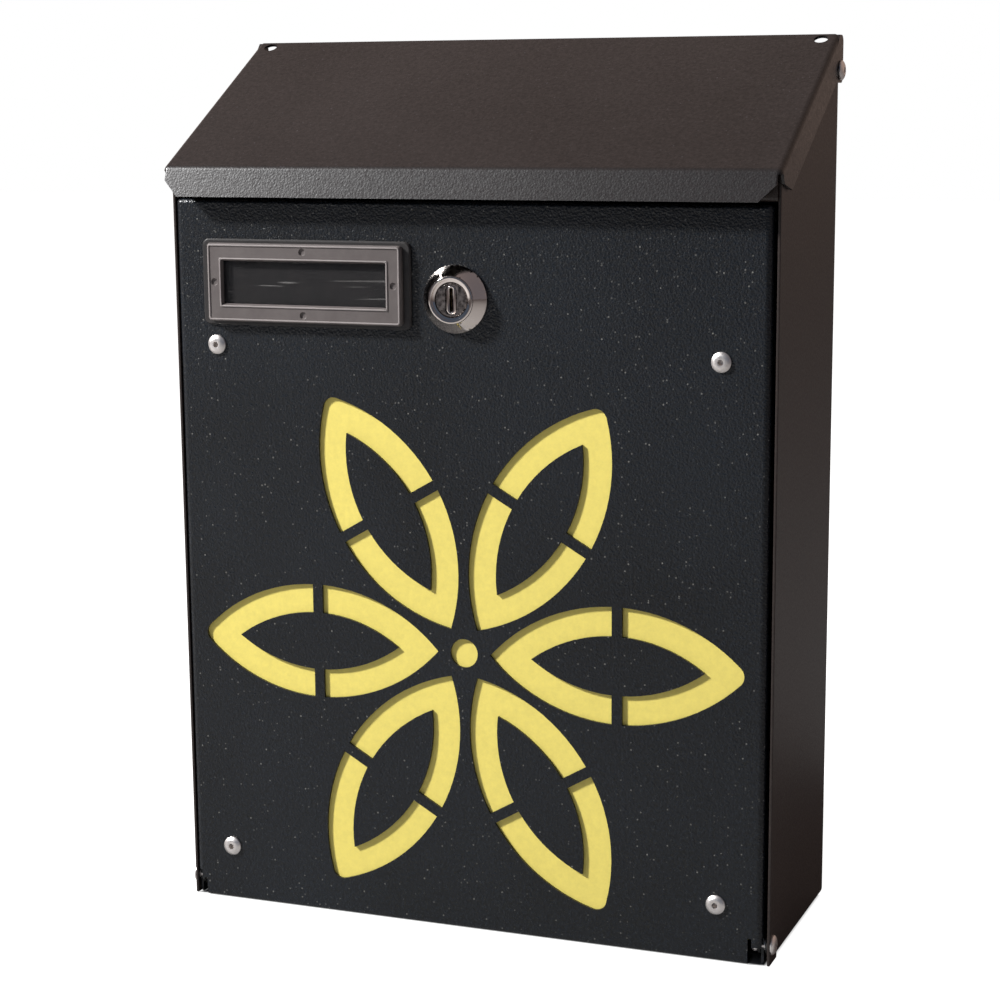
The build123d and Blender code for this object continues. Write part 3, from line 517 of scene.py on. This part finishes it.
# The keyway's pressed lips fill the dish in the plug's face and leave a narrow slot.
LIP_HALF_WIDTH = 1.75 * MM
LIP_HALF_TALL = 4.95 * MM
SLOT_HALF_WIDTH = 0.62 * MM
SLOT_HALF_TALL = 4.05 * MM
LIP_DEPTH = 0.7 * MM
LIP_BELOW_FACE = 0.03 * MM
LIP_ROUND = 0.35 * MM


def stadium(bm, half_width, half_tall, centre):
    """An upright ring of edges with round ends, facing -Y."""
    ring = bmesh.ops.create_circle(bm, segments=40, radius=half_width, matrix=TO_FRONT)["verts"]
    for vert in ring:
        if abs(vert.co.z) > 1e-7:
            vert.co.z += math.copysign(half_tall - half_width, vert.co.z)
        vert.co += Vector(centre)
    return [e for e in bm.edges if e.verts[0] in ring and e.verts[1] in ring]


def keyway_lips():
    """The oval rim about the key slot, rounded at its inner and outer edges."""
    low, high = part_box("lock_plug")
    centre = ((low[0] + high[0]) / 2, low[1] + LIP_DEPTH, (low[2] + high[2]) / 2)
    bm = bmesh.new()
    outer = stadium(bm, LIP_HALF_WIDTH, LIP_HALF_TALL, centre)
    inner = stadium(bm, SLOT_HALF_WIDTH, SLOT_HALF_TALL, centre)
    rim = bmesh.ops.bridge_loops(bm, edges=outer + inner)["faces"]
    raised = bmesh.ops.extrude_face_region(bm, geom=rim)["geom"]
    top = [v for v in raised if isinstance(v, bmesh.types.BMVert)]
    bmesh.ops.translate(bm, verts=top, vec=(0, LIP_BELOW_FACE - LIP_DEPTH, 0))
    bmesh.ops.recalc_face_normals(bm, faces=bm.faces)
    above = [e for e in bm.edges if e.verts[0] in top and e.verts[1] in top]
    edges = [e for e in above if e.is_manifold and e.calc_face_angle() > FOLD_ANGLE]
    bmesh.ops.bevel(
        bm, geom=edges, offset=LIP_ROUND, segments=3, profile=0.5, affect="EDGES", material=-1
    )
    mesh = bpy.data.meshes.new("keyway_lips")
    bm.to_mesh(mesh)
    bm.free()
    smooth_faces(mesh, 50)
    mesh.materials.append(lock_chrome)
    piece = add_object("keyway_lips", mesh)
    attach(piece, "lock")


keyway_lips()
for part in ("lock_washer", "lock_nut", "stop_washer", "lock_cam", "cam_screw"):
    finish_node(part, zinc_steel)

# ======================================================================== wall spacers
# Four short tubes of black rubber between the back panel and the wall. The wall screws go through them.
# The nylon washers on the door's hinge rivets have the same matte black, which also paints the shade
# inside the door's lower corner notches.
RUBBER = (0.018, 0.018, 0.018)
RUBBER_DUST = (0.05, 0.05, 0.048)
RUBBER_GRAIN_DEPTH = 0.1 * MM


def rubber_material():
    """Matte rubber with a dusty bloom and fine moulding grain."""
    material, tree, shader = new_material("spacer_rubber")
    coords = tree.nodes.new("ShaderNodeTexCoord").outputs["Object"]
    bloom = noise(tree, coords, 120.0, 4.0, 0.6)
    grain = noise(tree, coords, 2400.0, 2.0, 0.5)
    colour = mix_colour(tree, remap(tree, bloom, 0.4, 0.7, 0.0, 1.0), RUBBER, RUBBER_DUST)
    rough = remap(tree, bloom, 0.3, 0.7, 0.78, 0.9)
    surface(tree, shader, colour, rough, grain, 0.25, RUBBER_GRAIN_DEPTH)
    return material


spacer_rubber = rubber_material()
# painted shade: on the door's hinge washers this black darkens the door's lower corner notches
for part in ("wall_spacers", "door_hinge_washers", "door_spacer_washer"):
    finish_node(part, spacer_rubber)

# ======================================================================== studio
# A plain white floor and backdrop, a dim room that is warmer at the back, one soft light from
# the left and the camera.
FLOOR_Z = -0.1552
FLOOR_HALF_SIZE = 6.0
FLOOR_GREY = (0.35, 0.35, 0.35, 1)
SHADE_HALF_WIDTH = 0.1095
SHADE_FRONT = -0.0865
SHADE_BACK = -0.010
SHADE_FADE = 0.002
WHITE = (1.0, 1.0, 1.0)
ROOM_FRONT = (0.062, 0.080, 0.112)
ROOM_BACK = (0.37, 0.27, 0.225)
ROOM_BLEND = 0.7
KEY_PLACE = (-1.36, -0.83, 1.16)
KEY_TARGET = (-0.03, -0.05, 0.04)
KEY_SIZE = 0.20
KEY_POWER = 66.0
CAMERA_PLACE = (0.29148, -0.79347, 0.13278)
CAMERA_DEGREES = (79.1978, 0.3023, 20.7361)

floor_mesh = bpy.data.meshes.new("floor")
bm = bmesh.new()
bmesh.ops.create_grid(
    bm, x_segments=1, y_segments=1, size=FLOOR_HALF_SIZE, matrix=Matrix.Translation((0, 0, FLOOR_Z))
)
bm.to_mesh(floor_mesh)
bm.free()
floor = add_object("floor", floor_mesh)
floor_white, floor_tree, floor_shader = new_material("floor_white")
floor_shader.inputs["Base Color"].default_value = FLOOR_GREY
floor_shader.inputs["Roughness"].default_value = 0.9
floor_shader.inputs["Emission Color"].default_value = (*WHITE, 1)
floor_seen = floor_tree.nodes.new("ShaderNodeLightPath").outputs["Is Camera Ray"]
# the camera's white fades out under the box, where no light reaches
spot = floor_tree.nodes.new("ShaderNodeSeparateXYZ")
floor_tree.links.new(floor_tree.nodes.new("ShaderNodeTexCoord").outputs["Object"], spot.inputs[0])
sideways = math_node(floor_tree, "ABSOLUTE", spot.outputs[0])
beside = math_node(floor_tree, "SUBTRACT", sideways, SHADE_HALF_WIDTH)
before = math_node(floor_tree, "SUBTRACT", SHADE_FRONT, spot.outputs[1])
behind = math_node(floor_tree, "SUBTRACT", spot.outputs[1], SHADE_BACK)
outside = math_node(floor_tree, "MAXIMUM", math_node(floor_tree, "MAXIMUM", beside, before), behind)
open_floor = remap(floor_tree, outside, -SHADE_FADE, 0.0, 0.0, 1.0)
shown = math_node(floor_tree, "MULTIPLY", floor_seen, open_floor)
floor_tree.links.new(shown, floor_shader.inputs["Emission Strength"])
floor_mesh.materials.append(floor_white)

world = bpy.data.worlds.new("studio")
bpy.context.scene.world = world
world.use_nodes = True
air = world.node_tree
backdrop = air.nodes["Background"]
seen = air.nodes.new("ShaderNodeLightPath").outputs["Is Camera Ray"]
facing = air.nodes.new("ShaderNodeSeparateXYZ")
air.links.new(air.nodes.new("ShaderNodeTexCoord").outputs["Generated"], facing.inputs[0])
front_to_back = remap(air, facing.outputs["Y"], -ROOM_BLEND, ROOM_BLEND, 0.0, 1.0)
room = mix_colour(air, front_to_back, ROOM_FRONT, ROOM_BACK)
air.links.new(mix_colour(air, seen, room, WHITE), backdrop.inputs["Color"])
backdrop.inputs["Strength"].default_value = 1.0

key_data = bpy.data.lights.new("key_light", "AREA")
key_data.shape = "RECTANGLE"
key_data.size = KEY_SIZE
key_data.size_y = KEY_SIZE
key_data.energy = KEY_POWER
key_light = add_object("key_light", key_data)
key_light.location = KEY_PLACE
key_light.rotation_mode = "QUATERNION"
key_light.rotation_quaternion = (Vector(KEY_TARGET) - Vector(KEY_PLACE)).to_track_quat("-Z", "Y")

camera_data = bpy.data.cameras.new("camera")
camera_data.sensor_width = 36.0
camera_data.lens = 81.3125
camera_data.shift_x = -0.027126
camera_data.shift_y = 0.036271
camera = add_object("camera", camera_data)
camera.location = CAMERA_PLACE
camera.rotation_euler = [math.radians(turn) for turn in CAMERA_DEGREES]
bpy.context.scene.camera = camera
bpy.context.scene.view_settings.view_transform = "Standard"
